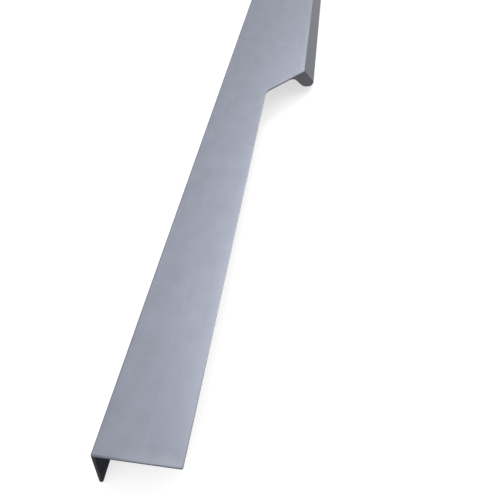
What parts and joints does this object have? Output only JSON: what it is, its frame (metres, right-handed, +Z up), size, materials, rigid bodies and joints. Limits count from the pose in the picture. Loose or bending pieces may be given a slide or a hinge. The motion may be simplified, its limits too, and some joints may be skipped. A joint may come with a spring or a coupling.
{
  "type": "edge pull handle",
  "caption": "Channel-shaped edge pull: flat plate with a back flange, slanted notches at both ends and a forward-leaning grip lip in the middle.",
  "frame": {"origin": "middle of the handle's length and depth, at the level of the foot of its back flange", "axes": "+X from the back flange to the grip lip, +Y along the handle, +Z up out of the flat plate"},
  "size_m": [0.04, 0.6, 0.013],
  "materials": {
    "anodised_aluminium": "satin brushed and anodised, a cool silver grey"
  },
  "bodies": {
    "root": {"edge_pull": "anodised_aluminium"}
  },
  "joints": []
}
